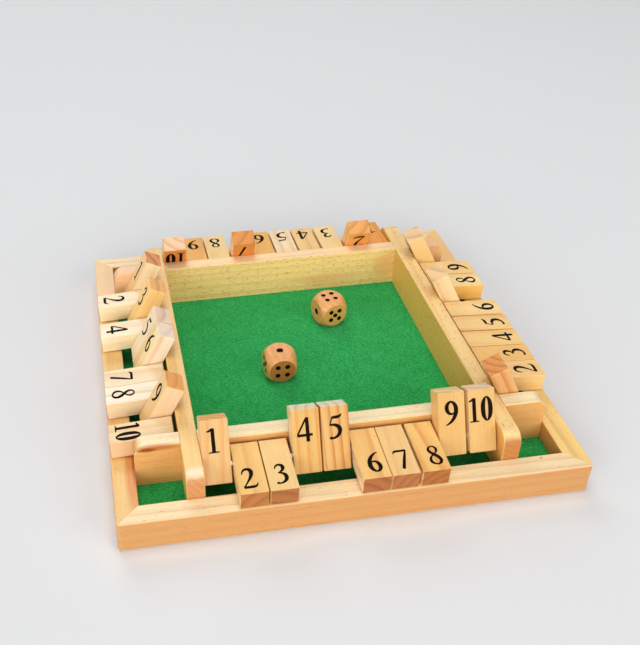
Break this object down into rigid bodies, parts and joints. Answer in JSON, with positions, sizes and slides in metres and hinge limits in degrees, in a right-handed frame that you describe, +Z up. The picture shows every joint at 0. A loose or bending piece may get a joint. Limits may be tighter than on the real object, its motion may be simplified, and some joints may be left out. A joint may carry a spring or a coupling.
{
  "type": "shut the box game",
  "caption": "Square wooden four-player shut-the-box board: mitred frame, felted dice pit, numbered tiles that flip on a steel rod along each side, and wooden dice.",
  "frame": {"origin": "on the table, under the middle of the square frame", "axes": "+Z up, -Y towards the player whose row is rail_front, +X to that player's right"},
  "size_m": [0.2916, 0.2916, 0.0603],
  "materials": {
    "frame_pine": "satin clear varnish over pine",
    "wall_pine": "satin clear varnish over pine",
    "tile_pine": "satin clear varnish over pine, black numerals on both faces",
    "base_ply": "raw light plywood",
    "felt": "matt green felt",
    "rod_steel": "bright drawn steel",
    "brad_steel": "plain steel",
    "die_wood": "waxed beech with black pips"
  },
  "bodies": {
    "root": {"rail_front": "frame_pine", "rail_right": "frame_pine", "rail_back": "frame_pine", "rail_left": "frame_pine", "base_board": "base_ply", "felt_sheet": "felt", "wall_front": "wall_pine", "wall_right": "wall_pine", "wall_back": "wall_pine", "wall_left": "wall_pine", "base_brads": "brad_steel", "rod_front": "rod_steel", "rod_right": "rod_steel", "rod_back": "rod_steel", "rod_left": "rod_steel"},
    "tile_front_1": {"tile_front_1": "tile_pine"},
    "tile_front_2": {"tile_front_2": "tile_pine"},
    "tile_front_3": {"tile_front_3": "tile_pine"},
    "tile_front_4": {"tile_front_4": "tile_pine"},
    "tile_front_5": {"tile_front_5": "tile_pine"},
    "tile_front_6": {"tile_front_6": "tile_pine"},
    "tile_front_7": {"tile_front_7": "tile_pine"},
    "tile_front_8": {"tile_front_8": "tile_pine"},
    "tile_front_9": {"tile_front_9": "tile_pine"},
    "tile_front_10": {"tile_front_10": "tile_pine"},
    "tile_right_1": {"tile_right_1": "tile_pine"},
    "tile_right_2": {"tile_right_2": "tile_pine"},
    "tile_right_3": {"tile_right_3": "tile_pine"},
    "tile_right_4": {"tile_right_4": "tile_pine"},
    "tile_right_5": {"tile_right_5": "tile_pine"},
    "tile_right_6": {"tile_right_6": "tile_pine"},
    "tile_right_7": {"tile_right_7": "tile_pine"},
    "tile_right_8": {"tile_right_8": "tile_pine"},
    "tile_right_9": {"tile_right_9": "tile_pine"},
    "tile_right_10": {"tile_right_10": "tile_pine"},
    "tile_back_1": {"tile_back_1": "tile_pine"},
    "tile_back_2": {"tile_back_2": "tile_pine"},
    "tile_back_3": {"tile_back_3": "tile_pine"},
    "tile_back_4": {"tile_back_4": "tile_pine"},
    "tile_back_5": {"tile_back_5": "tile_pine"},
    "tile_back_6": {"tile_back_6": "tile_pine"},
    "tile_back_7": {"tile_back_7": "tile_pine"},
    "tile_back_8": {"tile_back_8": "tile_pine"},
    "tile_back_9": {"tile_back_9": "tile_pine"},
    "tile_back_10": {"tile_back_10": "tile_pine"},
    "tile_left_1": {"tile_left_1": "tile_pine"},
    "tile_left_2": {"tile_left_2": "tile_pine"},
    "tile_left_3": {"tile_left_3": "tile_pine"},
    "tile_left_4": {"tile_left_4": "tile_pine"},
    "tile_left_5": {"tile_left_5": "tile_pine"},
    "tile_left_6": {"tile_left_6": "tile_pine"},
    "tile_left_7": {"tile_left_7": "tile_pine"},
    "tile_left_8": {"tile_left_8": "tile_pine"},
    "tile_left_9": {"tile_left_9": "tile_pine"},
    "tile_left_10": {"tile_left_10": "tile_pine"},
    "die_1": {"die_1": "die_wood"},
    "die_2": {"die_2": "die_wood"}
  },
  "joints": [
    {"name": "tile_front_1_flip", "type": "hinge", "parent": "root", "child": "tile_front_1", "pos_m": [-0.08297, -0.11476, 0.0307], "axis": [-1, 0, 0], "range_deg": [-120.2, 0]},
    {"name": "tile_front_2_flip", "type": "hinge", "parent": "root", "child": "tile_front_2", "pos_m": [-0.06473, -0.11476, 0.0307], "axis": [-1, 0, 0], "range_deg": [0, 120.2]},
    {"name": "tile_front_3_flip", "type": "hinge", "parent": "root", "child": "tile_front_3", "pos_m": [-0.04688, -0.11476, 0.0307], "axis": [-1, 0, 0], "range_deg": [0, 120.2]},
    {"name": "tile_front_4_flip", "type": "hinge", "parent": "root", "child": "tile_front_4", "pos_m": [-0.02792, -0.11476, 0.0307], "axis": [-1, 0, 0], "range_deg": [-120.2, 0]},
    {"name": "tile_front_5_flip", "type": "hinge", "parent": "root", "child": "tile_front_5", "pos_m": [-0.00988, -0.11476, 0.0307], "axis": [-1, 0, 0], "range_deg": [-120.2, 0]},
    {"name": "tile_front_6_flip", "type": "hinge", "parent": "root", "child": "tile_front_6", "pos_m": [0.00847, -0.11476, 0.0307], "axis": [-1, 0, 0], "range_deg": [0, 120.2]},
    {"name": "tile_front_7_flip", "type": "hinge", "parent": "root", "child": "tile_front_7", "pos_m": [0.02602, -0.11476, 0.0307], "axis": [-1, 0, 0], "range_deg": [0, 120.2]},
    {"name": "tile_front_8_flip", "type": "hinge", "parent": "root", "child": "tile_front_8", "pos_m": [0.04478, -0.11476, 0.0307], "axis": [-1, 0, 0], "range_deg": [0, 120.2]},
    {"name": "tile_front_9_flip", "type": "hinge", "parent": "root", "child": "tile_front_9", "pos_m": [0.06313, -0.11476, 0.0307], "axis": [-1, 0, 0], "range_deg": [-120.2, 0]},
    {"name": "tile_front_10_flip", "type": "hinge", "parent": "root", "child": "tile_front_10", "pos_m": [0.08248, -0.11476, 0.0307], "axis": [-1, 0, 0], "range_deg": [-120.2, 0]},
    {"name": "tile_right_1_flip", "type": "hinge", "parent": "root", "child": "tile_right_1", "pos_m": [0.11476, -0.08257, 0.0307], "axis": [0, -1, 0], "range_deg": [-120.2, 0]},
    {"name": "tile_right_2_flip", "type": "hinge", "parent": "root", "child": "tile_right_2", "pos_m": [0.11476, -0.06383, 0.0307], "axis": [0, -1, 0], "range_deg": [0, 120.2]},
    {"name": "tile_right_3_flip", "type": "hinge", "parent": "root", "child": "tile_right_3", "pos_m": [0.11476, -0.04618, 0.0307], "axis": [0, -1, 0], "range_deg": [0, 120.2]},
    {"name": "tile_right_4_flip", "type": "hinge", "parent": "root", "child": "tile_right_4", "pos_m": [0.11476, -0.02813, 0.0307], "axis": [0, -1, 0], "range_deg": [0, 120.2]},
    {"name": "tile_right_5_flip", "type": "hinge", "parent": "root", "child": "tile_right_5", "pos_m": [0.11476, -0.00948, 0.0307], "axis": [0, -1, 0], "range_deg": [0, 120.2]},
    {"name": "tile_right_6_flip", "type": "hinge", "parent": "root", "child": "tile_right_6", "pos_m": [0.11476, 0.00907, 0.0307], "axis": [0, -1, 0], "range_deg": [0, 120.2]},
    {"name": "tile_right_7_flip", "type": "hinge", "parent": "root", "child": "tile_right_7", "pos_m": [0.11476, 0.02753, 0.0307], "axis": [0, -1, 0], "range_deg": [-120.2, 0]},
    {"name": "tile_right_8_flip", "type": "hinge", "parent": "root", "child": "tile_right_8", "pos_m": [0.11476, 0.04607, 0.0307], "axis": [0, -1, 0], "range_deg": [0, 120.2]},
    {"name": "tile_right_9_flip", "type": "hinge", "parent": "root", "child": "tile_right_9", "pos_m": [0.11476, 0.06442, 0.0307], "axis": [0, -1, 0], "range_deg": [0, 120.2]},
    {"name": "tile_right_10_flip", "type": "hinge", "parent": "root", "child": "tile_right_10", "pos_m": [0.11476, 0.08257, 0.0307], "axis": [0, -1, 0], "range_deg": [-120.2, 0]},
    {"name": "tile_back_1_flip", "type": "hinge", "parent": "root", "child": "tile_back_1", "pos_m": [0.08257, 0.11476, 0.0307], "axis": [1, 0, 0], "range_deg": [0, 120.2]},
    {"name": "tile_back_2_flip", "type": "hinge", "parent": "root", "child": "tile_back_2", "pos_m": [0.06342, 0.11476, 0.0307], "axis": [1, 0, 0], "range_deg": [-120.2, 0]},
    {"name": "tile_back_3_flip", "type": "hinge", "parent": "root", "child": "tile_back_3", "pos_m": [0.04528, 0.11476, 0.0307], "axis": [1, 0, 0], "range_deg": [0, 120.2]},
    {"name": "tile_back_4_flip", "type": "hinge", "parent": "root", "child": "tile_back_4", "pos_m": [0.02633, 0.11476, 0.0307], "axis": [1, 0, 0], "range_deg": [0, 120.2]},
    {"name": "tile_back_5_flip", "type": "hinge", "parent": "root", "child": "tile_back_5", "pos_m": [0.00777, 0.11476, 0.0307], "axis": [1, 0, 0], "range_deg": [0, 120.2]},
    {"name": "tile_back_6_flip", "type": "hinge", "parent": "root", "child": "tile_back_6", "pos_m": [-0.01068, 0.11476, 0.0307], "axis": [1, 0, 0], "range_deg": [0, 120.2]},
    {"name": "tile_back_7_flip", "type": "hinge", "parent": "root", "child": "tile_back_7", "pos_m": [-0.02913, 0.11476, 0.0307], "axis": [1, 0, 0], "range_deg": [-120.2, 0]},
    {"name": "tile_back_8_flip", "type": "hinge", "parent": "root", "child": "tile_back_8", "pos_m": [-0.04727, 0.11476, 0.0307], "axis": [1, 0, 0], "range_deg": [0, 120.2]},
    {"name": "tile_back_9_flip", "type": "hinge", "parent": "root", "child": "tile_back_9", "pos_m": [-0.06532, 0.11476, 0.0307], "axis": [1, 0, 0], "range_deg": [0, 120.2]},
    {"name": "tile_back_10_flip", "type": "hinge", "parent": "root", "child": "tile_back_10", "pos_m": [-0.08297, 0.11476, 0.0307], "axis": [1, 0, 0], "range_deg": [-120.2, 0]},
    {"name": "tile_left_1_flip", "type": "hinge", "parent": "root", "child": "tile_left_1", "pos_m": [-0.11476, 0.08257, 0.0307], "axis": [0, 1, 0], "range_deg": [-120.2, 0]},
    {"name": "tile_left_2_flip", "type": "hinge", "parent": "root", "child": "tile_left_2", "pos_m": [-0.11476, 0.06473, 0.0307], "axis": [0, 1, 0], "range_deg": [0, 120.2]},
    {"name": "tile_left_3_flip", "type": "hinge", "parent": "root", "child": "tile_left_3", "pos_m": [-0.11476, 0.04607, 0.0307], "axis": [0, 1, 0], "range_deg": [-120.2, 0]},
    {"name": "tile_left_4_flip", "type": "hinge", "parent": "root", "child": "tile_left_4", "pos_m": [-0.11476, 0.02753, 0.0307], "axis": [0, 1, 0], "range_deg": [0, 120.2]},
    {"name": "tile_left_5_flip", "type": "hinge", "parent": "root", "child": "tile_left_5", "pos_m": [-0.11476, 0.00907, 0.0307], "axis": [0, 1, 0], "range_deg": [-120.2, 0]},
    {"name": "tile_left_6_flip", "type": "hinge", "parent": "root", "child": "tile_left_6", "pos_m": [-0.11476, -0.00907, 0.0307], "axis": [0, 1, 0], "range_deg": [-120.2, 0]},
    {"name": "tile_left_7_flip", "type": "hinge", "parent": "root", "child": "tile_left_7", "pos_m": [-0.11476, -0.02732, 0.0307], "axis": [0, 1, 0], "range_deg": [0, 120.2]},
    {"name": "tile_left_8_flip", "type": "hinge", "parent": "root", "child": "tile_left_8", "pos_m": [-0.11476, -0.04478, 0.0307], "axis": [0, 1, 0], "range_deg": [0, 120.2]},
    {"name": "tile_left_9_flip", "type": "hinge", "parent": "root", "child": "tile_left_9", "pos_m": [-0.11476, -0.06352, 0.0307], "axis": [0, 1, 0], "range_deg": [-120.2, 0]},
    {"name": "tile_left_10_flip", "type": "hinge", "parent": "root", "child": "tile_left_10", "pos_m": [-0.11476, -0.08167, 0.0307], "axis": [0, 1, 0], "range_deg": [0, 120.2]},
    {"name": "die_1_lift", "type": "slide", "parent": "root", "child": "die_1", "axis": [0, 0, 1], "range_m": [0, 0.08]},
    {"name": "die_2_lift", "type": "slide", "parent": "root", "child": "die_2", "axis": [0, 0, 1], "range_m": [0, 0.08]}
  ]
}
